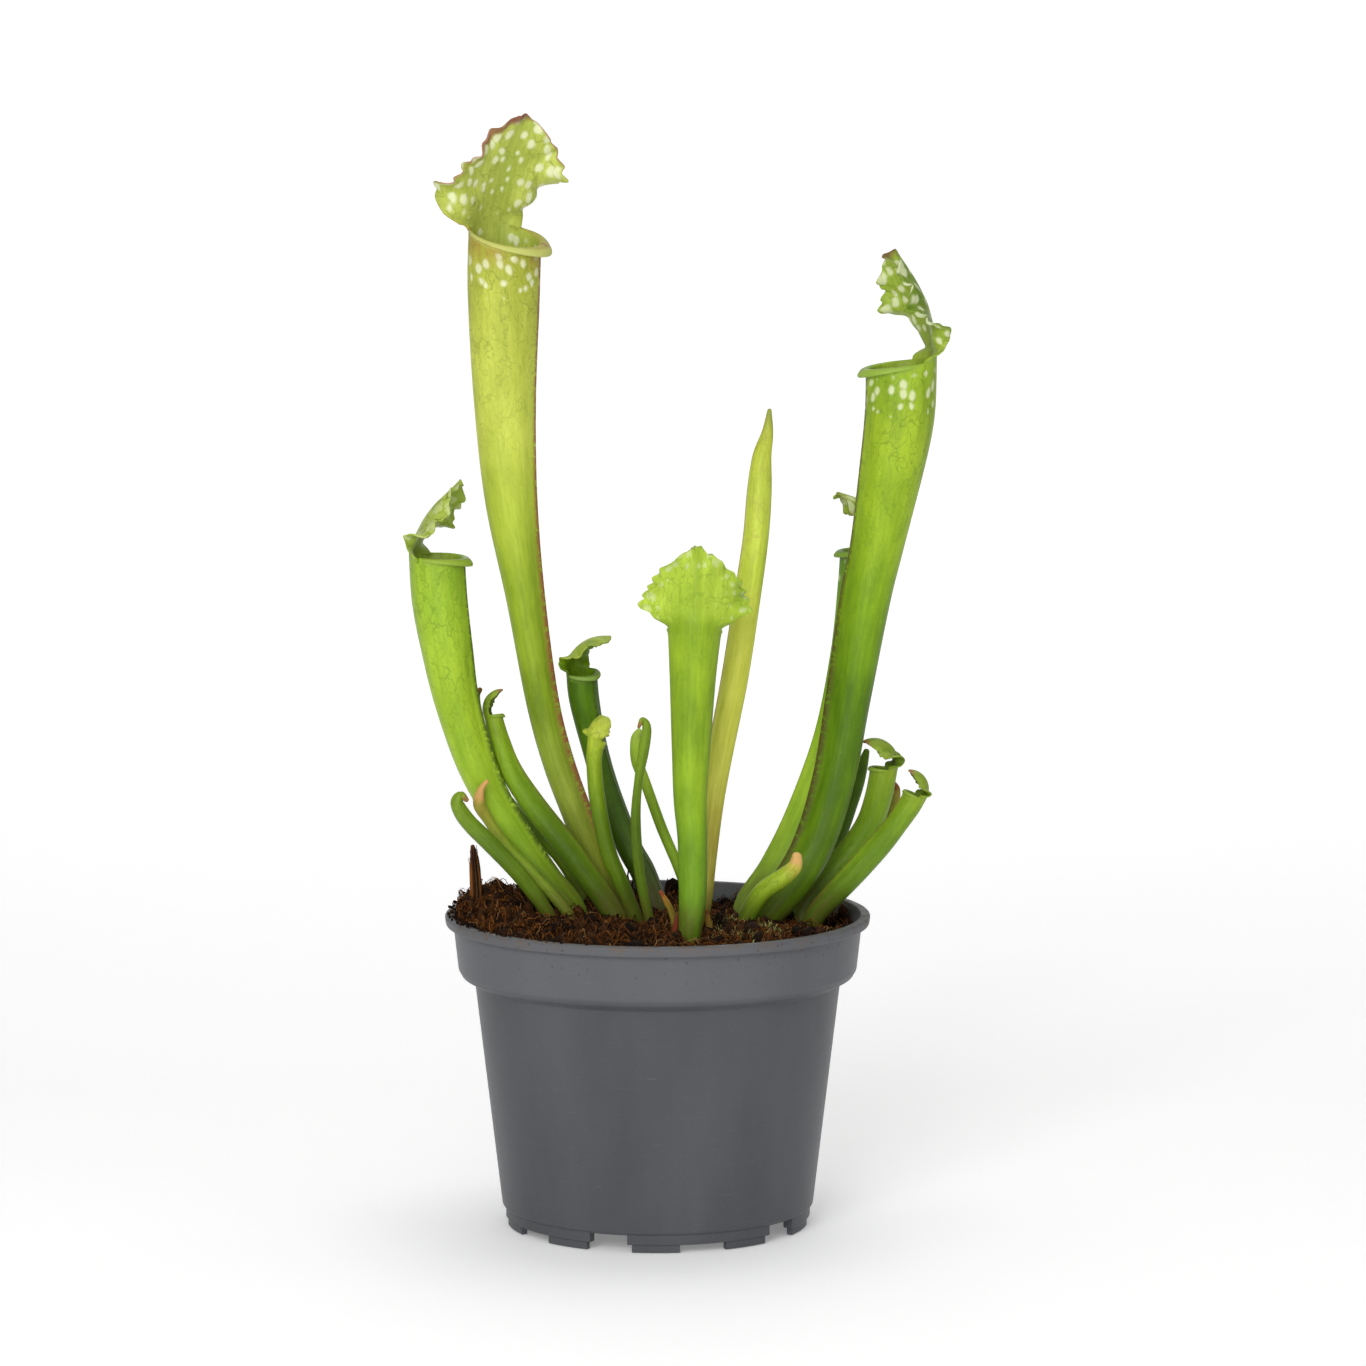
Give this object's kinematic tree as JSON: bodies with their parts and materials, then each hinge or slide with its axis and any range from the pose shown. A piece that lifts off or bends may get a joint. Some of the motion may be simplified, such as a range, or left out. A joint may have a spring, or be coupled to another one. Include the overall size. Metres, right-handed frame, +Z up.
{
  "type": "potted pitcher plant",
  "caption": "Carnivorous pitcher plant with upright hooded tube leaves growing from moist peat in a round plastic nursery pot.",
  "frame": {"origin": "middle of the bounding box's floor, where the pot stands", "axes": "+Z up along the pot's axis, -Y towards the front of the plant"},
  "size_m": [0.1528, 0.12, 0.3128],
  "materials": {
    "leaf_green": "satin",
    "leaf_lime": "satin",
    "leaf_dark": "satin",
    "leaf_yellow": "satin",
    "leaf_dry": "matte",
    "leaf_red": "satin",
    "rootstock": "matte",
    "peat": "matte",
    "pot_plastic": "satin"
  },
  "bodies": {
    "root": {"pitcher_left_tall": "leaf_lime", "pitcher_left_short": "leaf_green", "pitcher_left_young": "leaf_green", "leaf_left_slim": "leaf_lime", "leaf_left_outer": "leaf_green", "leaf_left_dried": "leaf_yellow", "pitcher_middle_dark": "leaf_dark", "pitcher_middle_light": "leaf_lime", "leaf_curled": "leaf_green", "leaf_thin_lobed": "leaf_green", "pitcher_centre_front": "leaf_green", "pitcher_unopened": "leaf_yellow", "pitcher_right_tall": "leaf_dark", "pitcher_right_back": "leaf_green", "leaf_right_front": "leaf_lime", "pitcher_right_small": "leaf_green", "pitcher_right_hooked": "leaf_green", "leaf_right_brown": "leaf_yellow", "leaf_right_dark": "leaf_dark", "stub_dry": "leaf_dry", "shoot_yellow": "leaf_yellow", "shoot_red": "leaf_red", "shoot_pale": "leaf_yellow", "rhizome": "rootstock", "soil": "peat", "pot": "pot_plastic"}
  },
  "joints": []
}
